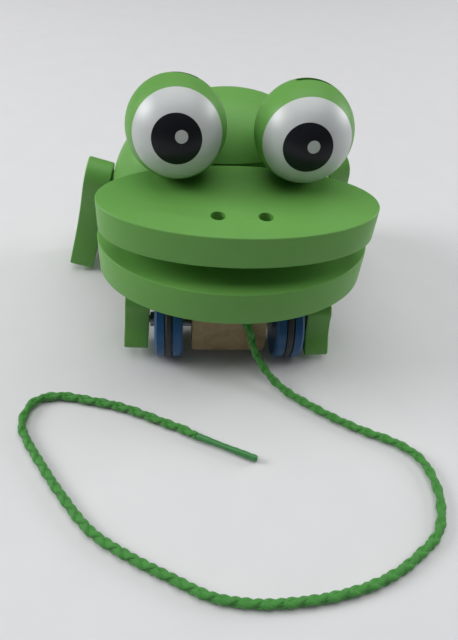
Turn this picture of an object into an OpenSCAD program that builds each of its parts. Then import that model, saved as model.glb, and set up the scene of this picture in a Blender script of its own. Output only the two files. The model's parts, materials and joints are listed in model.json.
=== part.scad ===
// Pull-along wooden frog: wheeled chassis with head, wagging body with hind
// legs, front legs carried round by the front wheels, braided pull cord.
// Millimetres, +Z up, the frog faces -Y, its left side is -X.

/* [Head] */
// Long axis of the oval upper jaw board
upper_jaw_w = 136.8; // [110:0.2:160]
// Short axis of the oval upper jaw board
upper_jaw_d = 65; // [50:0.5:80]
// Thickness of the upper jaw board
upper_jaw_t = 16.8; // [10:0.2:24]
// Height of the upper jaw's top face above the floor
head_top_z = 96; // [80:0.5:110]
// Long axis of the oval lower jaw board
lower_jaw_w = 142.8; // [120:0.2:160]
// Short axis of the lower jaw's full oval
lower_jaw_d = 100.2; // [80:0.2:120]
// Thickness of the lower jaw board
lower_jaw_t = 19; // [12:0.5:26]
// Open gap between the two jaw boards
mouth_gap = 13.4; // [8:0.2:20]
// Diameter of a nostril hole
nostril_d = 7.2; // [4:0.2:10]
// Distance between the nostril holes
nostril_pitch = 22.2; // [14:0.2:32]

/* [Eyes] */
// Diameter of an eyeball
eye_d = 48.2; // [36:0.5:60]
// Distance between the eyeball centres
eye_pitch = 61.4; // [50:0.2:70]
// Length of the slot in the crown of an eyeball
slot_l = 18.5; // [8:0.5:24]
// Width of the slot in the crown of an eyeball
slot_w = 4.2; // [2:0.2:8]

/* [Chassis] */
// Width of the wooden chassis block
block_w = 40.4; // [30:0.5:50]
// Length of the wooden chassis block
block_l = 122; // [110:1:140]
// Height of the block's underside above the floor
block_z = 9; // [6:0.5:14]
// Diameter of a wheel over its rubber ring
wheel_d = 38.4; // [30:0.2:44]
// Width of a wheel
wheel_w = 15; // [10:0.5:20]
// Outer face to outer face of a pair of wheels
track_w = 80.4; // [70:0.2:96]
// Diameter of an axle rod
axle_d = 4; // [4:0.1:6]

/* [Body] */
// Turn of the body about its pivot, to the frog's right when positive
wag = 8; // [-9:0.5:9]
// Width of the domed body
body_w = 130.6; // [110:0.2:140]
// Front to back diameter of the body's full dome
body_d = 90; // [80:0.5:110]
// Height of the body's crown above the floor
body_top_z = 120; // [105:0.5:130]

/* [Legs] */
// Thickness of a hind leg board
hind_t = 14.6; // [10:0.5:20]
// Outward lean of a hind leg board in degrees
hind_lean = 14.2; // [5:0.2:20]
// Toe-out of a hind leg board in degrees
hind_toe = 11; // [0:0.5:20]
// Thickness of a front leg board
front_t = 13.1; // [8:0.1:16]
// Outward lean of a front leg board in degrees
front_lean = 3.5; // [0:0.5:8]
// Throw of the crank pin that carries a front leg
crank_r = 1.9; // [1:0.1:4]
// Crank angle of the frog's left pin in degrees
crank_a = 60; // [0:5:355]

/* [Cord] */
// Diameter of the braided pull cord
cord_d = 5; // [3:0.1:7]
// Diameter of the sealed cord tip
tip_d = 3.8; // [2:0.1:5]

/* [Hidden] */

// the whole toy is placed so that its box is centred on the origin
place = [4.04, -21.53, 0];

front_y = -27;                         // front axle
rear_y = 62;                           // rear axle
axle_z = wheel_d / 2;
base_x = -1.3;                         // the wheeled base sits a little to the frog's right of the head
block_y0 = -38.4;                      // front face of the block
upper_cy = -21.4;                      // centre of the upper jaw's oval
lower_cy = -6.9;                       // centre of the lower jaw's oval
lower_cut_y = 3;                       // straight back edge of the lower jaw
upper_z = head_top_z - upper_jaw_t;
lower_z = upper_z - mouth_gap - lower_jaw_t;
block_top = lower_z;
edge = 1;                              // eased edge on the painted boards

eye_r = eye_d / 2;
eye_y = 1.8;                           // centre of the eyeballs
eye_z = head_top_z + eye_r - 0.1;      // a small flat under each ball
// turn and tilt of the white, iris and glint on each ball
white_l = [3.2, 10.6, 58.5];
white_r = [-2, 3, 60];
iris_l = [1.2, 11.2, 27.9];
iris_r = [-4.5, 6.2, 28.2];
glint_l = [6.4, 15.2, 6.9];
glint_r = [0.9, 9.6, 6.9];
// place of the crown slot on each ball and its turn
slot_at = [[1.7, 7.2, -11], [2.5, 4, -2]];

pivot_y = 26;                          // vertical pivot of the body
dome_cy = 47.2;
dome_cz = 60.5;
dome_front_y = 13.5;                   // flat front face of the body, below the head's top
overshoot_z = head_top_z + 0.6;        // above this the body comes forward over the head
dome_z0 = block_top + 0.8;
pin_r = 4;
run = 0.06;                            // running clearance on radius

hip_y = 11;                            // hip dowel, measured along the leg board
hip_s = 58;
foot_x = 82.5;                         // front corner of a hind leg at its foot
foot_y = 52.3;
foot_z = 2.8;
spacer_t = 8;

leg_x = track_w / 2 + 3.5;             // inner face of a front leg at its pin
tyre_w = 3.5;
groove_w = 4.6;
groove_x = 30.5;                       // inner side of the rubber ring's groove
rim_r = wheel_d / 2 - 0.3;
crank_l = [crank_r * cos(crank_a), crank_r * sin(crank_a)];

// centre line of the pull cord, from the block to the start of its tip
cord_pts = [[6, -32.4, 33], [6.4, -38.4, 32.6], [9, -41.5, 28], [11, -44, 21], [14, -47, 13.5],
  [18, -51.5, 8.5], [23, -57, 5], [29.5, -63.5, 3.2], [37, -69.5, 2.7], [51, -80, 2.7],
  [66, -89, 2.7], [82, -97, 2.7], [92, -107, 2.7], [95, -122, 2.7], [92.5, -136, 2.7],
  [87, -146, 2.7], [77, -154, 2.7], [66, -161, 2.7], [51, -167, 2.7], [32, -171, 2.7],
  [11, -172.5, 2.7], [-3, -171.5, 2.7], [-16, -168.5, 2.7], [-31, -161, 2.7],
  [-49, -151.5, 2.7], [-66, -140, 2.7], [-81, -122.5, 2.7], [-93, -106, 2.7],
  [-102, -92.5, 2.7], [-106, -83, 2.7], [-104, -72, 2.7], [-98, -67, 2.7],
  [-88, -66, 2.7], [-74, -69, 2.7], [-62, -72, 2.7], [-51, -76, 2.7],
  [-35, -83.5, 2.7], [-27, -87, 2.7], [-19.5, -91.5, 2.7]];
tip_end = [10, -105, 2.3];

// outline of a hind leg: distance back, distance up the board
hind_pts = [[0, 0], [0.3, 3], [1.8, 10], [4.3, 18], [5.8, 26], [5.2, 35], [2.8, 45],
  [-0.4, 54], [-2.6, 61.5], [-2.4, 67.5], [0.4, 72], [5.4, 74.2], [12, 72.6], [21, 66], [29.5, 56],
  [35, 45], [36.5, 34], [35, 23], [31, 13], [28.5, 5], [27, 0]];
// outline of a front leg about its crank pin
front_pts = [[-9.4, -14], [-10.6, -11.6], [-9.4, -7], [-6.6, -1], [-5.8, 8], [-6, 14.5],
  [-2.5, 19], [3, 19.5], [7.4, 16], [9, 9], [9.5, 1], [8.6, -7], [7.4, -11.2], [6.7, -14]];

paint = [0.33, 0.58, 0.24];
timber = [0.62, 0.48, 0.36];
blue = [0.13, 0.30, 0.52];
dark = [0.14, 0.14, 0.17];
steel = [0.62, 0.63, 0.65];

// ---------- helpers ----------
function cr(a, b, c, d, t) =
  0.5 * (2 * b + (c - a) * t + (2 * a - 5 * b + 4 * c - d) * t * t
  + (3 * b - a - 3 * c + d) * t * t * t);
// closed smooth outline through the points, with a straight last edge
function smooth(p, k) = let (n = len(p))
  [for (i = [0 : n - 2]) for (j = [0 : k - 1])
    cr(p[max(i - 1, 0)], p[i], p[i + 1], p[min(i + 2, n - 1)], j / k), p[n - 1]];
function unit(v) = v / norm(v);
function tangent(p, i) = unit(p[min(i + 1, len(p) - 1)] - p[max(i - 1, 0)]);

module mirrored(side) { if (side < 0) mirror([1, 0, 0]) children(); else children(); }
module based() { translate([base_x, 0, 0]) children(); }
module swung() { translate([0, pivot_y, 0]) rotate([0, 0, wag]) translate([0, -pivot_y, 0]) children(); }
// frame of a hind leg board: X out of the board, Y back, Z up the board
module hind_frame(side) { swung() mirrored(side) translate([foot_x, foot_y, foot_z]) rotate([0, 0, hind_toe]) rotate([0, -hind_lean, 0]) children(); }

// oval board with eased edges, bottom at z
module oval(w, d, t, z) {
  translate([0, 0, z]) scale([w / 2, d / 2, 1])
    rotate_extrude($fn = 128) polygon([[0, 0], [1 - edge / (d / 2), 0], [1, edge], [1, t - edge], [1 - edge / (d / 2), t], [0, t]]);
}

module along_x(x0, x1, r, y, z, fn = 48) {
  translate([x0, y, z]) rotate([0, 90, 0]) cylinder(r = r, h = x1 - x0, $fn = fn);
}

// shell sector of an eyeball, around direction d = [turn, tilt, half angle]
module cap(side, d, r0, r1) {
  translate([side * eye_pitch / 2, eye_y, eye_z]) rotate([0, 0, d[0]]) rotate([90 - d[1], 0, 0])
    intersection() {
      difference() { sphere(r = r1, $fn = 96); sphere(r = r0, $fn = 96); }
      cylinder(h = 40, r1 = 0, r2 = 40 * tan(d[2]), $fn = 96);
    }
}
// the same sector cut solid, to make its seat
module cap_seat(side, d, r0, r1) { cap(side, d, r0, r1 + 2); }

// ---------- chassis and head ----------
module chassis_block() {
  w = block_w / 2; z1 = block_top; c = 1.5;
  color(timber) difference() {
    translate([0, block_y0 + block_l, 0]) rotate([90, 0, 0]) linear_extrude(block_l)
      polygon([for (p = [[-w, block_z + c], [-w + c, block_z], [w - c, block_z], [w, block_z + c], [w, z1], [-w, z1]]) p + [base_x, 0]]);
    along_x(-w - 3, w + 3, axle_d / 2 + run, front_y, axle_z);
    along_x(-w - 3, w + 3, axle_d / 2 + run, rear_y, axle_z);
    translate([0, pivot_y, block_z - 1]) cylinder(r = pin_r + run, h = z1 - block_z + 2, $fn = 48);
    translate([0, pivot_y, block_z - 1]) cylinder(r = 9, h = 8, $fn = 48);
    for (x = [-12, 12]) translate([x, -16, 26]) cylinder(r = 4, h = 40, $fn = 32);
    translate([cord_pts[0][0], block_y0 + 6, cord_pts[0][2]]) rotate([90, 0, 0]) cylinder(r = cord_d / 2 + 0.6, h = 10, $fn = 32);
  }
}

// two dowels through the lower jaw and spacer into the upper jaw
module head_dowels() {
  color(timber) for (x = [-12, 12]) translate([x, -16, 26]) cylinder(r = 4, h = upper_z + 9 - 26, $fn = 32);
}

module lower_jaw() {
  color(paint) difference() {
    translate([0, lower_cy, 0]) oval(lower_jaw_w, lower_jaw_d, lower_jaw_t, lower_z);
    translate([-100, lower_cut_y, lower_z - 1]) cube([200, 100, lower_jaw_t + 2]);
    for (x = [-12, 12]) translate([x, -16, lower_z - 1]) cylinder(r = 4, h = lower_jaw_t + 2, $fn = 32);
  }
}

module mouth_spacer() {
  color(paint) difference() {
    translate([0, -10, lower_z + lower_jaw_t]) scale([44, 12, 1]) cylinder(r = 1, h = mouth_gap, $fn = 96);
    for (x = [-12, 12]) translate([x, -16, lower_z]) cylinder(r = 4, h = 60, $fn = 32);
  }
}

module upper_jaw() {
  color(paint) difference() {
    translate([0, upper_cy, 0]) oval(upper_jaw_w, upper_jaw_d, upper_jaw_t, upper_z);
    for (x = [-12, 12]) translate([x, -16, upper_z - 1]) cylinder(r = 4, h = 10, $fn = 32);
    for (s = [-1, 1]) {
      translate([s * nostril_pitch / 2, -36.1, head_top_z - 8]) cylinder(d = nostril_d, h = 10, $fn = 48);
      translate([s * eye_pitch / 2, eye_y, head_top_z - 9]) cylinder(r = 4, h = 10, $fn = 32);
    }
  }
}

// dowel from each ball down into the upper jaw
module eye_dowels() {
  color(timber) for (s = [-1, 1]) translate([s * eye_pitch / 2, eye_y, head_top_z - 9]) cylinder(r = 4, h = 21, $fn = 32);
}

module eyeball(side, w) {
  color(paint) difference() {
    translate([side * eye_pitch / 2, eye_y, eye_z]) sphere(r = eye_r, $fn = 128);
    translate([side * eye_pitch / 2 - 30, -30, 0]) cube([60, 64, head_top_z]);
    translate([side * eye_pitch / 2, eye_y, head_top_z - 1]) cylinder(r = 4, h = 13, $fn = 32);
    cap_seat(side, w, eye_r - 0.9, eye_r);
    // slot in the crown
    at = slot_at[side < 0 ? 0 : 1];
    translate([side * eye_pitch / 2 + at[0], eye_y + at[1], eye_z + eye_r - 8]) rotate([0, 0, at[2]]) {
      translate([-(slot_l - slot_w) / 2, -slot_w / 2, 0]) cube([slot_l - slot_w, slot_w, 12]);
      for (x = [-1, 1]) translate([x * (slot_l - slot_w) / 2, 0, 0]) cylinder(d = slot_w, h = 12, $fn = 32);
    }
  }
}
module eyeball_left() { eyeball(-1, white_l); }
module eyeball_right() { eyeball(1, white_r); }
module eye_white(side, w, i) {
  color([0.92, 0.93, 0.93]) difference() { cap(side, w, eye_r - 0.9, eye_r); cap_seat(side, i, eye_r - 0.5, eye_r); }
}
module eye_white_left() { eye_white(-1, white_l, iris_l); }
module eye_white_right() { eye_white(1, white_r, iris_r); }
module eye_iris(side, i, g) {
  color([0.05, 0.06, 0.07]) difference() { cap(side, i, eye_r - 0.5, eye_r + 0.1); cap_seat(side, g, eye_r - 0.2, eye_r); }
}
module eye_iris_left() { eye_iris(-1, iris_l, glint_l); }
module eye_iris_right() { eye_iris(1, iris_r, glint_r); }
module eye_glint_left() { color([0.8, 0.82, 0.82]) cap(-1, glint_l, eye_r - 0.2, eye_r + 0.15); }
module eye_glint_right() { color([0.8, 0.82, 0.82]) cap(1, glint_r, eye_r - 0.2, eye_r + 0.15); }

// thin ring the body slides on, round the pivot
module glide_ring() {
  color(dark) translate([0, pivot_y, block_top]) difference() {
    cylinder(r = 11, h = 0.5, $fn = 64);
    translate([0, 0, -1]) cylinder(r = 5, h = 3, $fn = 48);
  }
}

// ---------- cord ----------
module tube(p, r, sides) {
  n = len(p);
  pts = [for (i = [0 : n - 1]) let (t = tangent(p, i), a = unit(cross(t, [0.01, 0.02, 1])), b = cross(a, t))
    for (j = [0 : sides - 1]) p[i] + r * (a * cos(360 * j / sides) + b * sin(360 * j / sides))];
  faces = concat(
    [[for (j = [0 : sides - 1]) j]],
    [for (i = [0 : n - 2]) for (j = [0 : sides - 1]) [i * sides + j, (i + 1) * sides + j, (i + 1) * sides + (j + 1) % sides]],
    [for (i = [0 : n - 2]) for (j = [0 : sides - 1]) [i * sides + j, (i + 1) * sides + (j + 1) % sides, i * sides + (j + 1) % sides]],
    [[for (j = [sides - 1 : -1 : 0]) (n - 1) * sides + j]]);
  polyhedron(pts, faces);
}
module pull_cord() { color([0.2, 0.55, 0.2]) tube(smooth(cord_pts, 2), cord_d / 2, 10); }
module cord_tip() {
  p = cord_pts[len(cord_pts) - 1];
  q = tip_end - p; t = unit(tangent(smooth(cord_pts, 2), 2 * len(cord_pts) - 2));
  color([0.25, 0.6, 0.28]) tube([p, p + t * 2, p + q * 0.35, p + q * 0.7, tip_end], tip_d / 2, 10);
}

// ---------- body and hind legs ----------
module hip_axis(side, x0, x1, r) { hind_frame(side) along_x(x0, x1, r, hip_y, hip_s, 40); }

module body_dome() {
  c = body_top_z - dome_cz;
  color(paint) difference() {
    swung() difference() {
      translate([0, dome_cy, dome_cz]) scale([body_w / 2, body_d / 2, c]) sphere(r = 1, $fn = 96);
      translate([-100, -100, 0]) cube([200, 100 + dome_front_y, overshoot_z]);
      for (s = [-1, 1]) translate([0, pivot_y, 0]) rotate([0, 0, s * 8.6])
        translate([s * eye_pitch / 2, eye_y - pivot_y, eye_z]) sphere(r = eye_r + 0.5, $fn = 96);
      translate([-100, -100, 0]) cube([200, 300, dome_z0]);
      translate([0, pivot_y, 0]) cylinder(r = pin_r, h = dome_z0 + 30, $fn = 48);
    }
    for (s = [-1, 1]) {
      hip_axis(s, -spacer_t, 30, 9.3);
      hip_axis(s, -spacer_t - 14, 30, 5);
    }
  }
}

module hind_leg(side) {
  color(paint) difference() {
    hind_frame(side) rotate([90, 0, 90]) linear_extrude(hind_t) polygon(smooth(hind_pts, 4));
    hip_axis(side, -1, hind_t - 3, 5);
  }
}
module hind_leg_left() { hind_leg(-1); }
module hind_leg_right() { hind_leg(1); }
module hip_dowels() { color(timber) for (s = [-1, 1]) hip_axis(s, -spacer_t - 14, hind_t - 3, 5); }
module hip_spacers() {
  color(paint) for (s = [-1, 1]) difference() { hip_axis(s, -spacer_t, 0, 9); hip_axis(s, -spacer_t - 1, 1, 5); }
}

// steel pivot pressed into the body, running through the block
module swivel_pin() {
  color(steel) translate([0, pivot_y, block_z + 1.5]) cylinder(r = pin_r, h = dome_z0 + 28 - block_z - 1.5, $fn = 48);
}
// push-on cap that holds the pivot in, sunk in the block's underside
module swivel_cap() {
  color(steel) translate([0, pivot_y, block_z + 3.2]) difference() {
    cylinder(r = 7.5, h = 3.3, $fn = 48);
    translate([0, 0, -1]) cylinder(r = pin_r, h = 6, $fn = 48);
  }
}

// ---------- wheels ----------
module wheel(side, y, crank) {
  x0 = track_w / 2 - wheel_w;
  color(blue) mirrored(side) difference() {
    translate([x0, y, axle_z]) rotate([0, 90, 0]) rotate_extrude($fn = 96)
        polygon([[0, 0], [rim_r - 1.2, 0], [rim_r, 1.2], [rim_r, groove_x - x0], [rim_r - 2.2, groove_x - x0],
          [rim_r - 2.2, groove_x + groove_w - x0], [rim_r, groove_x + groove_w - x0], [rim_r, wheel_w - 1.2], [rim_r - 1.2, wheel_w], [0, wheel_w]]);
    along_x(x0 - 1, x0 + 9, axle_d / 2, y, axle_z);
    if (crank != 0) along_x(x0 + 9.6, 60, 2, y + crank * crank_l[0], axle_z + crank * crank_l[1], 32);
  }
}
module tyre(side, y) {
  color(dark) mirrored(side) translate([groove_x + (groove_w - tyre_w) / 2, y, axle_z]) rotate([0, 90, 0])
    rotate_extrude($fn = 96) polygon([[rim_r - 2.2, 0], [wheel_d / 2 - 0.6, 0], [wheel_d / 2, 0.8], [wheel_d / 2, tyre_w - 0.8], [wheel_d / 2 - 0.6, tyre_w], [rim_r - 2.2, tyre_w]]);
}
module axle(y) { x1 = track_w / 2 - wheel_w + 9; color(steel) along_x(-x1, x1, axle_d / 2, y, axle_z); }
module front_axle() { axle(front_y); }
module rear_axle() { axle(rear_y); }
module front_wheel_left() { wheel(-1, front_y, 1); }
module front_wheel_right() { wheel(1, front_y, -1); }
module rear_wheel_left() { wheel(-1, rear_y, 0); }
module rear_wheel_right() { wheel(1, rear_y, 0); }
module front_tyre_left() { tyre(-1, front_y); }
module front_tyre_right() { tyre(1, front_y); }
module rear_tyre_left() { tyre(-1, rear_y); }
module rear_tyre_right() { tyre(1, rear_y); }

// shouldered pin: shank in the wheel, thrust shoulder, journal, flush head
module crank_pin(side, k) {
  y = front_y + k * crank_l[0]; z = axle_z + k * crank_l[1]; x0 = track_w / 2 - wheel_w + 9.6;
  color(steel) mirrored(side) union() {
    along_x(x0, leg_x + front_t - 1, 2, y, z, 32);
    along_x(track_w / 2, leg_x - 0.65, 4, y, z, 32);
    along_x(leg_x + front_t - 2.6, leg_x + front_t - 0.8, 4, y, z, 32);
  }
}
module crank_pin_left() { crank_pin(-1, 1); }
module crank_pin_right() { crank_pin(1, -1); }

module front_leg(side, k) {
  y = front_y + k * crank_l[0]; z = axle_z + k * crank_l[1];
  color(paint) mirrored(side) difference() {
    translate([leg_x, y, z]) rotate([0, -front_lean, 0]) rotate([90, 0, 90]) linear_extrude(front_t) polygon(smooth(front_pts, 4));
    along_x(leg_x - 2, leg_x + front_t + 2, 2 + run, y, z, 32);
    along_x(leg_x + front_t - 3, leg_x + front_t + 1, 4.6, y, z, 32);
  }
}
module front_leg_left() { front_leg(-1, 1); }
module front_leg_right() { front_leg(1, -1); }

translate(place) {
  chassis_block();
  head_dowels();
  lower_jaw();
  mouth_spacer();
  upper_jaw();
  eyeball_left();
  eyeball_right();
  eye_white_left();
  eye_white_right();
  eye_iris_left();
  eye_iris_right();
  eye_glint_left();
  eye_glint_right();
  eye_dowels();
  glide_ring();
  pull_cord();
  cord_tip();
  body_dome();
  hind_leg_left();
  hind_leg_right();
  hip_dowels();
  hip_spacers();
  swivel_pin();
  swivel_cap();
  based() front_axle();
  based() front_wheel_left();
  based() front_wheel_right();
  based() front_tyre_left();
  based() front_tyre_right();
  based() crank_pin_left();
  based() crank_pin_right();
  based() rear_axle();
  based() rear_wheel_left();
  based() rear_wheel_right();
  based() rear_tyre_left();
  based() rear_tyre_right();
  based() front_leg_left();
  based() front_leg_right();
}
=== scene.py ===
import json
import math
import random

import bmesh
import bpy
from mathutils import Matrix, Vector


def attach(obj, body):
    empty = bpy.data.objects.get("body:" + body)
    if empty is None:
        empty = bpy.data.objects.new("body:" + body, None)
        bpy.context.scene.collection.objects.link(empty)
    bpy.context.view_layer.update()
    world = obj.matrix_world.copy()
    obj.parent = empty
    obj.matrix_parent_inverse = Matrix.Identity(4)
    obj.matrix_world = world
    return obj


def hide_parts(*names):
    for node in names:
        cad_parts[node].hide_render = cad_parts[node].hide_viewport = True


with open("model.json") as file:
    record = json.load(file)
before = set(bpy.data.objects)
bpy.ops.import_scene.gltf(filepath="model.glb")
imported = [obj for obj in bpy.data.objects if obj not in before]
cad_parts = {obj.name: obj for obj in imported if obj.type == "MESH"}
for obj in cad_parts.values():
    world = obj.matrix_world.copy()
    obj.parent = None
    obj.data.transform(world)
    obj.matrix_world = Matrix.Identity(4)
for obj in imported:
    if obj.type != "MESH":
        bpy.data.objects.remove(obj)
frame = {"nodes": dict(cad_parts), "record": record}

random.seed(7)
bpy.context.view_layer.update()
MM = 0.001
PLACE = Vector((4.04, -21.53, 0.0))            # the same shift as part.scad's place


def P(x, y, z):
    """A point of part.scad, before its last shift, in metres of the row frame."""
    return (Vector((x, y, z)) + PLACE) * MM


# ---------------------------------------------------------------- camera
def add_camera():
    yaw, pitch, roll = (math.radians(a) for a in (6.87, 43.49, 5.23))
    f0 = Vector((math.sin(yaw), math.cos(yaw), 0))
    r0 = Vector((math.cos(yaw), -math.sin(yaw), 0))
    fwd = f0 * math.cos(pitch) + Vector((0, 0, -math.sin(pitch)))
    up0 = f0 * math.sin(pitch) + Vector((0, 0, math.cos(pitch)))
    right = r0 * math.cos(roll) + up0 * math.sin(roll)
    up = up0 * math.cos(roll) - r0 * math.sin(roll)
    cam = bpy.data.cameras.new("camera")
    cam.sensor_fit = "VERTICAL"
    cam.sensor_height = 36.0
    cam.lens = 36.0 * 571.2 / 640.0
    cam.clip_start = 0.01
    cam.clip_end = 20
    ob = bpy.data.objects.new("camera", cam)
    bpy.context.scene.collection.objects.link(ob)
    m = Matrix((right, up, -fwd)).transposed().to_4x4()
    m.translation = P(-28.47, -257.82, 241.80)
    ob.matrix_world = m
    bpy.context.scene.camera = ob


add_camera()


# ---------------------------------------------------------------- materials
def new_mat(name):
    m = bpy.data.materials.new(name)
    m.use_nodes = True
    nt = m.node_tree
    return m, nt, nt.nodes["Principled BSDF"]


def link(nt, a, b):
    nt.links.new(a, b)


def coords(nt, scale=(1, 1, 1), rot=(0, 0, 0)):
    tc = nt.nodes.new("ShaderNodeTexCoord")
    mp = nt.nodes.new("ShaderNodeMapping")
    mp.inputs["Scale"].default_value = scale
    mp.inputs["Rotation"].default_value = rot
    link(nt, tc.outputs["Object"], mp.inputs["Vector"])
    return mp.outputs["Vector"]


def noise(nt, vec, scale, detail=4.0, rough=0.55, dist=0.0):
    n = nt.nodes.new("ShaderNodeTexNoise")
    n.inputs["Scale"].default_value = scale
    n.inputs["Detail"].default_value = detail
    n.inputs["Roughness"].default_value = rough
    n.inputs["Distortion"].default_value = dist
    link(nt, vec, n.inputs["Vector"])
    return n.outputs["Fac"]


def ramp(nt, fac, stops):
    r = nt.nodes.new("ShaderNodeValToRGB")
    e = r.color_ramp.elements
    while len(e) < len(stops):
        e.new(0.5)
    for k, (p, c) in enumerate(stops):
        e[k].position = p
        e[k].color = (*c, 1) if len(c) == 3 else c
    link(nt, fac, r.inputs["Fac"])
    return r.outputs["Color"]


def grey(nt, fac, p0, v0, p1, v1):
    return ramp(nt, fac, [(p0, (v0, v0, v0)), (p1, (v1, v1, v1))])


def mix(nt, fac, a, b, mode="MIX"):
    m = nt.nodes.new("ShaderNodeMix")
    m.data_type = "RGBA"
    m.blend_type = mode
    for k, v in ((0, fac), (6, a), (7, b)):
        if hasattr(v, "is_output"):
            link(nt, v, m.inputs[k])
        elif k == 0:
            m.inputs[0].default_value = v
        else:
            m.inputs[k].default_value = (*v, 1)
    return m.outputs[2]


def bump(nt, height, strength, distance, normal=None):
    b = nt.nodes.new("ShaderNodeBump")
    b.inputs["Strength"].default_value = strength
    b.inputs["Distance"].default_value = distance
    link(nt, height, b.inputs["Height"])
    if normal is not None:
        link(nt, normal, b.inputs["Normal"])
    return b.outputs["Normal"]


def paint(name, base, dark, rough=0.34, coat=0.25, grain=(0.15, 1, 1)):
    """Satin enamel sprayed on sanded wood: faint orange peel, grain ghosting, slight tone drift."""
    m, nt, b = new_mat(name)
    v = coords(nt)
    g = coords(nt, grain)
    drift = noise(nt, v, 14, 3)
    fine = noise(nt, v, 420, 5, 0.6)
    ghost = noise(nt, g, 520, 4, 0.6)
    col = mix(nt, grey(nt, drift, 0.35, 0.0, 0.65, 0.55), base, dark)
    col = mix(nt, grey(nt, fine, 0.35, 0.0, 0.75, 0.16), col, dark)
    # tiny chips and dust marks in the coat
    vor = nt.nodes.new("ShaderNodeTexVoronoi")
    vor.inputs["Scale"].default_value = 95
    link(nt, v, vor.inputs["Vector"])
    speck = grey(nt, vor.outputs["Distance"], 0.035, 1.0, 0.05, 0.0)
    gate = grey(nt, noise(nt, v, 60, 2), 0.62, 0.0, 0.66, 0.5)
    col = mix(nt, mix(nt, 1.0, speck, gate, "MULTIPLY"), col, tuple(c * 0.55 for c in dark))
    link(nt, col, b.inputs["Base Color"])
    link(nt, grey(nt, noise(nt, v, 45, 4), 0.3, rough - 0.05, 0.7, rough + 0.07), b.inputs["Roughness"])
    n = bump(nt, ghost, 0.10, 0.00035)
    n = bump(nt, fine, 0.10, 0.00022, n)
    link(nt, n, b.inputs["Normal"])
    b.inputs["Coat Weight"].default_value = coat
    b.inputs["Coat Roughness"].default_value = 0.22
    b.inputs["IOR"].default_value = 1.46
    b.inputs["Specular IOR Level"].default_value = 0.34
    return m


def wood(name, light, mid, deep, axis=1):
    m, nt, b = new_mat(name)
    s = [1.0, 1.0, 1.0]
    s[axis] = 0.06
    v = coords(nt, tuple(s))
    big = noise(nt, v, 130, 3, 0.5, 0.6)
    fine = noise(nt, v, 900, 5, 0.65)
    pore = noise(nt, v, 2200, 2, 0.5)
    col = ramp(nt, big, [(0.3, deep), (0.5, mid), (0.72, light)])
    col = mix(nt, grey(nt, fine, 0.4, 0.0, 0.7, 0.35), col, deep)
    link(nt, col, b.inputs["Base Color"])
    link(nt, grey(nt, fine, 0.3, 0.5, 0.7, 0.66), b.inputs["Roughness"])
    n = bump(nt, fine, 0.25, 0.0003)
    n = bump(nt, pore, 0.15, 0.0002, n)
    link(nt, n, b.inputs["Normal"])
    return m


def simple(name, a, c, rough, var=0.05, bump_s=0.1, bump_scale=800, metal=0.0, coat=0.0, dist=0.0002, stretch=(1, 1, 1), spec=0.5):
    m, nt, b = new_mat(name)
    v = coords(nt, stretch)
    f = noise(nt, v, bump_scale, 4)
    d = noise(nt, v, 40, 3)
    link(nt, mix(nt, grey(nt, d, 0.3, 0.0, 0.7, 1.0), a, c), b.inputs["Base Color"])
    link(nt, grey(nt, f, 0.3, rough - var, 0.7, rough + var), b.inputs["Roughness"])
    link(nt, bump(nt, f, bump_s, dist), b.inputs["Normal"])
    b.inputs["Metallic"].default_value = metal
    b.inputs["Specular IOR Level"].default_value = spec
    b.inputs["Coat Weight"].default_value = coat
    b.inputs["Coat Roughness"].default_value = 0.1
    return m


def pearl(name):
    """Pearly white enamel of the eyes, with a slightly darker, greener tone drifting at random."""
    m, nt, b = new_mat(name)
    v = coords(nt)
    d = noise(nt, v, 30, 4)
    f = noise(nt, v, 700, 4)
    link(nt, mix(nt, grey(nt, d, 0.35, 0.0, 0.7, 1.0), (0.575, 0.60, 0.595), (0.52, 0.55, 0.545)), b.inputs["Base Color"])
    link(nt, grey(nt, f, 0.3, 0.44, 0.7, 0.48), b.inputs["Roughness"])
    link(nt, bump(nt, d, 0.04, 0.0006), b.inputs["Normal"])
    b.inputs["Metallic"].default_value = 0.12
    b.inputs["Coat Weight"].default_value = 0.10
    b.inputs["Coat Roughness"].default_value = 0.30
    return m


def yarn(name, base, dark, stretch=(1, 1, 1)):
    m, nt, b = new_mat(name)
    v = coords(nt, stretch)
    f = noise(nt, v, 2600, 3, 0.7)
    d = noise(nt, v, 60, 3)
    col = mix(nt, grey(nt, f, 0.35, 0.0, 0.7, 0.8), base, dark)
    col = mix(nt, grey(nt, d, 0.4, 0.0, 0.8, 0.3), col, dark)
    link(nt, col, b.inputs["Base Color"])
    b.inputs["Roughness"].default_value = 0.72
    b.inputs["Sheen Weight"].default_value = 0.25
    b.inputs["Sheen Roughness"].default_value = 0.4
    link(nt, bump(nt, f, 0.5, 0.0004), b.inputs["Normal"])
    return m


GREEN = paint("green_enamel", (0.142, 0.368, 0.076), (0.120, 0.320, 0.062), 0.42, 0.0)
BLUE = paint("blue_enamel", (0.016, 0.088, 0.225), (0.011, 0.068, 0.180), 0.42, 0.1)
WOOD = wood("beech", (0.335, 0.250, 0.125), (0.275, 0.195, 0.094), (0.195, 0.133, 0.061), 1)
WOOD_Z = wood("beech_upright", (0.335, 0.250, 0.125), (0.275, 0.195, 0.094), (0.195, 0.133, 0.061), 2)
WHITE = pearl("eye_white_enamel")
BLACK = simple("eye_black_enamel", (0.006, 0.008, 0.010), (0.009, 0.011, 0.014), 0.30, 0.03, 0.03, 300, coat=0.0, spec=0.22)
GLINT = simple("eye_glint_enamel", (0.50, 0.53, 0.51), (0.44, 0.48, 0.46), 0.35, 0.03, 0.03, 300)
RUBBER = simple("black_rubber", (0.022, 0.022, 0.027), (0.034, 0.034, 0.040), 0.62, 0.08, 0.3, 1500)
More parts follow.
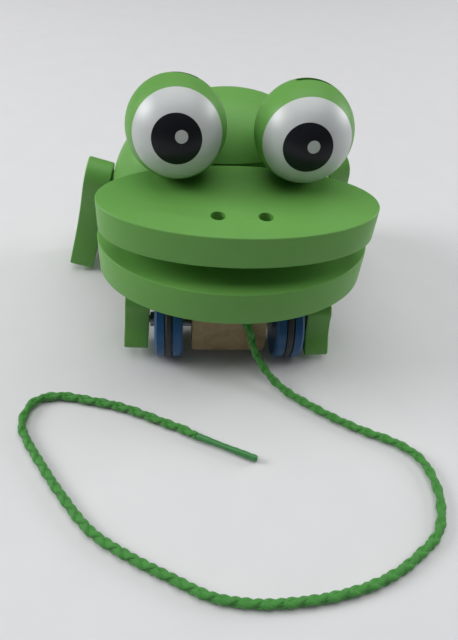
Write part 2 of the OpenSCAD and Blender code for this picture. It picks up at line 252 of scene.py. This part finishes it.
STEEL = simple("zinc_steel", (0.27, 0.28, 0.30), (0.23, 0.24, 0.25), 0.45, 0.08, 0.2, 900, metal=1.0, stretch=(0.05, 1, 1))
FELT = simple("dark_felt", (0.03, 0.03, 0.03), (0.05, 0.05, 0.05), 0.9, 0.03, 0.6, 2500)
CORD = yarn("green_braid", (0.066, 0.315, 0.046), (0.026, 0.150, 0.020))
TIP = simple("sealed_tip", (0.050, 0.235, 0.062), (0.038, 0.185, 0.048), 0.42, 0.08, 0.35, 500, dist=0.0003)

BY_SLOT = {"green_paint": GREEN, "bare_wood": WOOD_Z, "blue_paint": BLUE, "eye_white": WHITE, "eye_black": BLACK,
           "eye_glint": GLINT, "felt": FELT, "cord": CORD, "cord_tip": TIP, "steel": STEEL, "rubber": RUBBER}
for sub in frame["record"]["subparts"]:
    ob = frame["nodes"][sub["node"]]
    mat = WOOD if sub["node"] == "chassis_block" else BY_SLOT[sub["material_slot"]]
    if not ob.material_slots:
        ob.data.materials.append(mat)
    for s in ob.material_slots:
        s.material = mat


# ---------------------------------------------------------------- mesh helpers
def finish_mesh(bm, name, mat, angle=38.0):
    bmesh.ops.remove_doubles(bm, verts=bm.verts, dist=1e-7)
    bmesh.ops.recalc_face_normals(bm, faces=bm.faces)
    lim = math.radians(angle)
    for f in bm.faces:
        f.smooth = True
    for e in bm.edges:
        if len(e.link_faces) == 2:
            e.smooth = e.calc_face_angle(0.0) < lim
    me = bpy.data.meshes.new(name)
    bm.to_mesh(me)
    bm.free()
    ob = bpy.data.objects.new(name, me)
    bpy.context.scene.collection.objects.link(ob)
    me.materials.append(mat)
    return ob


def ring_faces(bm, a, b):
    n = len(a)
    for k in range(n):
        bm.faces.new((a[k], a[(k + 1) % n], b[(k + 1) % n], b[k]))


def inset(outline, d):
    """The closed outline moved inwards by d along its own normals (mitred)."""
    n = len(outline)
    out = []
    for k in range(n):
        p0, p1, p2 = outline[k - 1], outline[k], outline[(k + 1) % n]
        e1 = (p1 - p0).normalized()
        e2 = (p2 - p1).normalized()
        n1 = Vector((-e1.y, e1.x))
        n2 = Vector((-e2.y, e2.x))
        b = n1 + n2
        if b.length < 1e-9:
            b = n1
        b.normalize()
        out.append(p1 + b * (d / max(b.dot(n1), 0.35)))
    return out


def board(outline, t, r, to3d, steps=5):
    """A board cut to a closed outline (counter-clockwise, mm) with rounded edges. to3d(u, v, w) gives the point."""
    bm = bmesh.new()
    rows = []
    for k in range(steps + 1):
        a = math.pi / 2 * k / steps
        rows.append((r * (1 - math.sin(a)), r * (1 - math.cos(a))))
    prof = rows + [(d, t - w) for d, w in reversed(rows)]
    rings = []
    for d, w in prof:
        pts = inset(outline, d) if d > 1e-9 else outline
        rings.append([bm.verts.new(to3d(p.x, p.y, w)) for p in pts])
    for a, b in zip(rings, rings[1:]):
        ring_faces(bm, a, b)
    bm.faces.new(list(reversed(rings[0])))
    bm.faces.new(rings[-1])
    return bm


def ellipse(cx, cy, a, b, n=220):
    return [Vector((cx + a * math.cos(2 * math.pi * k / n), cy + b * math.sin(2 * math.pi * k / n))) for k in range(n)]


def catmull(pts, k):
    out = []
    n = len(pts)
    for i in range(n - 1):
        a, b, c, d = (Vector(pts[j]) for j in (max(i - 1, 0), i, i + 1, min(i + 2, n - 1)))
        for j in range(k):
            t = j / k
            out.append(0.5 * (2 * b + (c - a) * t + (2 * a - 5 * b + 4 * c - d) * t * t + (3 * b - a - 3 * c + d) * t ** 3))
    out.append(Vector(pts[-1]))
    return out


def ccw(pts):
    s = sum(a.x * b.y - b.x * a.y for a, b in zip(pts, pts[1:] + pts[:1]))
    return pts if s > 0 else list(reversed(pts))


def soften(pts, passes=2, r=0.28):
    """Cuts the sharp corners of a closed outline."""
    for _ in range(passes):
        out = []
        n = len(pts)
        for k in range(n):
            p0, p1, p2 = pts[k - 1], pts[k], pts[(k + 1) % n]
            a = (p1 - p0).angle(p2 - p1, 0)
            if a > math.radians(14):
                l1 = min((p1 - p0).length * 0.45, 1.6 * r * 4)
                l2 = min((p2 - p1).length * 0.45, 1.6 * r * 4)
                out += [p1 - (p1 - p0).normalized() * l1, p1 + (p2 - p1).normalized() * l2]
            else:
                out.append(p1)
        pts = out
    return pts


def cut(ob, tool):
    """Boolean difference, applied; the tool is removed."""
    md = ob.modifiers.new("cut", "BOOLEAN")
    md.operation = "DIFFERENCE"
    md.solver = "EXACT"
    md.object = tool
    bpy.context.view_layer.objects.active = ob
    bpy.context.view_layer.update()
    dg = bpy.context.evaluated_depsgraph_get()
    me = bpy.data.meshes.new_from_object(ob.evaluated_get(dg))
    ob.modifiers.clear()
    old = ob.data
    ob.data = me
    bpy.data.meshes.remove(old)
    bpy.data.objects.remove(tool)


def resharpen(ob, angle=38.0):
    bm = bmesh.new()
    bm.from_mesh(ob.data)
    lim = math.radians(angle)
    for f in bm.faces:
        f.smooth = True
    for e in bm.edges:
        if len(e.link_faces) == 2:
            e.smooth = e.calc_face_angle(0.0) < lim
    bm.to_mesh(ob.data)
    bm.free()


def lathe_pocket(cx, cy, z_top, r, depth, lip=0.5, n=64):
    """Cutter for a round blind hole with an eased lip."""
    bm = bmesh.new()
    prof = [(0.0, z_top - depth), (r - 0.6, z_top - depth), (r, z_top - depth + 0.6), (r, z_top - lip)]
    for k in range(1, 5):
        a = math.pi / 2 * k / 4
        prof.append((r + lip * (1 - math.cos(a)), z_top - lip + lip * math.sin(a)))
    prof.append((r + lip + 0.4, z_top + 1.0))
    prof.append((0.0, z_top + 1.0))
    rings = []
    for rr, z in prof:
        if rr == 0.0:
            rings.append([bm.verts.new(P(cx, cy, z))])
        else:
            rings.append([bm.verts.new(P(cx + rr * math.cos(2 * math.pi * k / n), cy + rr * math.sin(2 * math.pi * k / n), z)) for k in range(n)])
    for a, b in zip(rings, rings[1:]):
        for k in range(n):
            if len(a) == 1:
                bm.faces.new((a[0], b[k], b[(k + 1) % n]))
            elif len(b) == 1:
                bm.faces.new((a[k], b[0], a[(k + 1) % n]))
            else:
                bm.faces.new((a[k], b[k], b[(k + 1) % n], a[(k + 1) % n]))
    return finish_mesh(bm, "cutter", GREEN)


def put(ob, body, slot, *nodes):
    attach(ob, body)
    if nodes:
        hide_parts(*nodes)
    return ob


# ---------------------------------------------------------------- pull cord
CORD_PTS = [(6, -32.4, 33), (6.4, -38.4, 32.6), (9, -41.5, 28), (11, -44, 21), (14, -47, 13.5),
            (18, -51.5, 8.5), (23, -57, 5), (29.5, -63.5, 3.2), (37, -69.5, 2.7), (51, -80, 2.7),
            (66, -89, 2.7), (82, -97, 2.7), (92, -107, 2.7), (95, -122, 2.7), (92.5, -136, 2.7),
            (87, -146, 2.7), (77, -154, 2.7), (66, -161, 2.7), (51, -167, 2.7), (32, -171, 2.7),
            (11, -172.5, 2.7), (-3, -171.5, 2.7), (-16, -168.5, 2.7), (-31, -161, 2.7),
            (-49, -151.5, 2.7), (-66, -140, 2.7), (-81, -122.5, 2.7), (-93, -106, 2.7),
            (-102, -92.5, 2.7), (-106, -83, 2.7), (-104, -72, 2.7), (-98, -67, 2.7),
            (-88, -66, 2.7), (-74, -69, 2.7), (-62, -72, 2.7), (-51, -76, 2.7),
            (-35, -83.5, 2.7), (-27, -87, 2.7), (-19.5, -91.5, 2.7)]
TIP_END = (10, -105, 2.3)


def resample(pts, step):
    d = [0.0]
    for a, b in zip(pts, pts[1:]):
        d.append(d[-1] + (b - a).length)
    n = max(2, int(round(d[-1] / step)))
    out = []
    j = 0
    for k in range(n + 1):
        s = d[-1] * k / n
        while j < len(d) - 2 and d[j + 1] < s:
            j += 1
        t = (s - d[j]) / max(d[j + 1] - d[j], 1e-12)
        out.append(pts[j].lerp(pts[j + 1], min(max(t, 0), 1)))
    return out, d[-1]


def frames(pts):
    """Tangent and two side vectors along a line, without twist."""
    ts = []
    for k in range(len(pts)):
        ts.append((pts[min(k + 1, len(pts) - 1)] - pts[max(k - 1, 0)]).normalized())
    a = ts[0].cross(Vector((0.02, 0.01, 1))).normalized()
    out = []
    for t in ts:
        a = (a - t * a.dot(t)).normalized()
        out.append((t, a, t.cross(a)))
    return out


def make_cord():
    raw = [P(*p) / MM for p in catmull(CORD_PTS, 8)]
    line, total = resample(raw, 0.42)
    fr = frames(line)
    bm = bmesh.new()
    sides = 9
    pitch = 18.4
    strands = 2
    for way in (1, -1):
        for k in range(strands):
            prev = None
            for i, p in enumerate(line):
                s = total * i / (len(line) - 1)
                u = 2 * strands * s / pitch
                grow = 1.0 + 0.03 * math.sin(s / 23.0)
                over = math.cos(math.pi * u) * way
                rad = (0.93 + 0.42 * over) * grow
                ang = way * 2 * math.pi * s / pitch + 2 * math.pi * k / strands
                t, a, b = fr[i]
                c = p + (a * math.cos(ang) + b * math.sin(ang)) * rad
                er = (a * math.cos(ang) + b * math.sin(ang))
                et = (b * math.cos(ang) - a * math.sin(ang))
                w, h = 1.52 * grow, 1.06 * grow
                ring = [bm.verts.new((c + et * (w * math.cos(2 * math.pi * j / sides)) + er * (h * math.sin(2 * math.pi * j / sides))) * MM) for j in range(sides)]
                if prev:
                    ring_faces(bm, prev, ring)
                else:
                    bm.faces.new(list(reversed(ring)))
                prev = ring
            bm.faces.new(prev)
    # core that keeps the braid from being seen through
    prev = None
    for i in range(0, len(line), 3):
        t, a, b = fr[i]
        ring = [bm.verts.new((line[i] + (a * math.cos(2 * math.pi * j / 10) + b * math.sin(2 * math.pi * j / 10)) * 1.1) * MM) for j in range(10)]
        if prev:
            ring_faces(bm, prev, ring)
        else:
            bm.faces.new(list(reversed(ring)))
        prev = ring
    bm.faces.new(prev)
    ob = finish_mesh(bm, "cord_braid", CORD, 80)
    put(ob, "chassis", "cord", "pull_cord")

    # sealed tip: a slightly wrinkled tapered tube over the end of the braid
    a0, b0 = P(*CORD_PTS[-1]) / MM, P(*TIP_END) / MM
    t0 = (line[-1] - line[-6]).normalized()
    pts = []
    span = (b0 - a0).length
    for k in range(41):
        u = k / 40
        h = a0 + (b0 - a0) * u
        h += t0 * (2.0 * u * (1 - u) ** 3)
        pts.append(h)
    fr2 = frames(pts)
    bm = bmesh.new()
    prev = None
    for i, p in enumerate(pts):
        u = i / 40
        r = 1.62 + 0.10 * math.cos(7 * u) + 0.06 * math.sin(41 * u)
        if i == 0:
            r = 1.5
        if i == 40:
            r = 1.35
        t, a, b = fr2[i]
        ring = []
        for j in range(20):
            an = 2 * math.pi * j / 20
            rr = r * (1 + 0.035 * math.cos(3 * an + 5 * u) + 0.02 * math.cos(2 * an - 11 * u))
            ring.append(bm.verts.new((p + (a * math.cos(an) + b * math.sin(an)) * rr) * MM))
        if prev:
            ring_faces(bm, prev, ring)
        else:
            bm.faces.new(list(reversed(ring)))
        prev = ring
    bm.faces.new(prev)
    tip = finish_mesh(bm, "cord_end", TIP, 60)
    put(tip, "chassis", "cord_tip", "cord_tip")
    return ob


make_cord()


# ---------------------------------------------------------------- head boards
def make_jaws():
    z0 = 96 - 16.8
    bm = board(ellipse(0, -21.4, 68.4, 32.5), 16.8, 0.8, lambda u, v, w: P(u, v, z0 + w))
    up = finish_mesh(bm, "jaw_upper", GREEN)
    for s in (-1, 1):
        cut(up, lathe_pocket(s * 11.1, -36.1, 96, 3.5, 8, 0.2))
    resharpen(up)
    put(up, "chassis", "green_paint", "upper_jaw")
    z1 = 46.8
    full = ellipse(0, -6.9, 71.4, 50.1, 240)
    keep = [p for p in full if p.y <= 3.0]
    k0 = max(range(len(keep)), key=lambda k: (keep[k] - keep[k - 1]).length)
    keep = keep[k0:] + keep[:k0]
    a, b = keep[0], keep[-1]
    pts = [Vector((-abs(a.x) if a.x < 0 else abs(a.x), 3.0))] + keep + [Vector((-abs(b.x) if b.x < 0 else abs(b.x), 3.0))]
    pts = soften(ccw(pts), 2)
    lo = finish_mesh(board(pts, 19.0, 0.8, lambda u, v, w: P(u, v, z1 + w)), "jaw_lower", GREEN)
    put(lo, "chassis", "green_paint", "lower_jaw")


make_jaws()


# ---------------------------------------------------------------- legs
HIND = [(0, 0), (0.3, 3), (1.8, 10), (4.3, 18), (5.8, 26), (5.2, 35), (2.8, 45),
        (-0.4, 54), (-2.6, 61.5), (-2.4, 67.5), (0.4, 72), (5.4, 74.2), (12, 72.6), (21, 66), (29.5, 56),
        (35, 45), (36.5, 34), (35, 23), (31, 13), (28.5, 5), (27, 0)]
FRONT = [(-9.4, -14), (-10.6, -11.6), (-9.4, -7), (-6.6, -1), (-5.8, 8), (-6, 14.5),
         (-2.5, 19), (3, 19.5), (7.4, 16), (9, 9), (9.5, 1), (8.6, -7), (7.4, -11.2), (6.7, -14)]
LEAN, TOE, WAG, FRONT_LEAN = (math.radians(a) for a in (14.2, 11, 8, 3.5))
FOOT_X, FOOT_Y, FOOT_Z, PIVOT_Y, HIND_T = 82.5, 52.3, 2.8, 26.0, 14.6
BASE_X, FRONT_Y, AXLE_Z, LEG_X, FRONT_T, CRANK_R, CRANK_A = -1.3, -27.0, 19.2, 43.7, 13.1, 1.9, math.radians(60)


def hind_point(side):
    def f(u, v, w):
        x = w * math.cos(LEAN) - v * math.sin(LEAN)
        z = FOOT_Z + v * math.cos(LEAN) + w * math.sin(LEAN)
        x, y = FOOT_X + x * math.cos(TOE) - u * math.sin(TOE), FOOT_Y + x * math.sin(TOE) + u * math.cos(TOE)
        x *= side
        y -= PIVOT_Y
        return P(x * math.cos(WAG) - y * math.sin(WAG), PIVOT_Y + x * math.sin(WAG) + y * math.cos(WAG), z)
    return f


def rod(x0, x1, r, y, z, n=40):
    """A cylinder along X, for cutting."""
    bm = bmesh.new()
    ends = [[bm.verts.new(P(x, y + r * math.cos(2 * math.pi * k / n), z + r * math.sin(2 * math.pi * k / n))) for k in range(n)]
            for x in (x0, x1)]
    ring_faces(bm, *ends)
    bm.faces.new(list(reversed(ends[0])))
    bm.faces.new(ends[1])
    return finish_mesh(bm, "cutter", GREEN)


def make_legs():
    hind = soften(ccw(catmull(HIND, 10)), 2)
    front = soften(ccw(catmull(FRONT, 8)), 2)
    for side, tag in ((-1, "left"), (1, "right")):
        ob = finish_mesh(board(hind, HIND_T, 0.7, hind_point(side)), "leg_hind_" + tag, GREEN)
        put(ob, "wag_body", "green_paint", "hind_leg_" + tag)
        k = -side
        y = FRONT_Y + k * CRANK_R * math.cos(CRANK_A)
        z = AXLE_Z + k * CRANK_R * math.sin(CRANK_A)

        def at(u, v, w):
            x = LEG_X + w * math.cos(FRONT_LEAN) - v * math.sin(FRONT_LEAN)
            return P(BASE_X + side * x, y + u, z + w * math.sin(FRONT_LEAN) + v * math.cos(FRONT_LEAN))

        ob = finish_mesh(board(front, FRONT_T, 0.6, at), "leg_front_" + tag, GREEN)
        out = LEG_X + FRONT_T
        cut(ob, rod(BASE_X + side * (LEG_X - 3), BASE_X + side * (out + 3), 2.06, y, z))
        cut(ob, rod(BASE_X + side * (out - 3), BASE_X + side * (out + 3), 4.6, y, z))
        resharpen(ob)
        put(ob, tag + "_front_leg", "green_paint", "front_leg_" + tag)


make_legs()


# ---------------------------------------------------------------- stage and light
def make_stage():
    bm = bmesh.new()
    s = 3.0
    vs = [bm.verts.new(v) for v in ((-s, -s, 0), (s, -s, 0), (s, s, 0), (-s, s, 0))]
    bm.faces.new(vs)
    floor = simple("paper_floor", (0.705, 0.705, 0.715), (0.690, 0.690, 0.702), 0.62, 0.03, 0.03, 120)
    ob = finish_mesh(bm, "floor", floor)
    w = bpy.data.worlds.new("world")
    w.use_nodes = True
    w.node_tree.nodes["Background"].inputs["Color"].default_value = (0.95, 0.97, 1.0, 1)
    w.node_tree.nodes["Background"].inputs["Strength"].default_value = 0.125
    bpy.context.scene.world = w

    def area(name, loc, target, size, power, col=(1, 1, 1)):
        d = bpy.data.lights.new(name, "AREA")
        d.shape = "RECTANGLE"
        d.size, d.size_y = size
        d.energy = power
        d.color = col
        o = bpy.data.objects.new(name, d)
        bpy.context.scene.collection.objects.link(o)
        o.location = loc
        o.rotation_euler = (Vector(target) - Vector(loc)).to_track_quat("-Z", "Y").to_euler()

    area("softbox_left", (-1.45, 0.10, 0.85), (0, 0, 0.05), (0.75, 0.75), 16.0)
    area("softbox_right", (1.45, 0.45, 0.65), (0, 0, 0.05), (0.75, 0.75), 10.5)
    area("overhead", (0.0, 0.15, 2.0), (0, 0, 0), (2.4, 2.0), 27.5)


make_stage()
bpy.context.scene.view_settings.view_transform = "Standard"
bpy.context.scene.view_settings.look = "None"
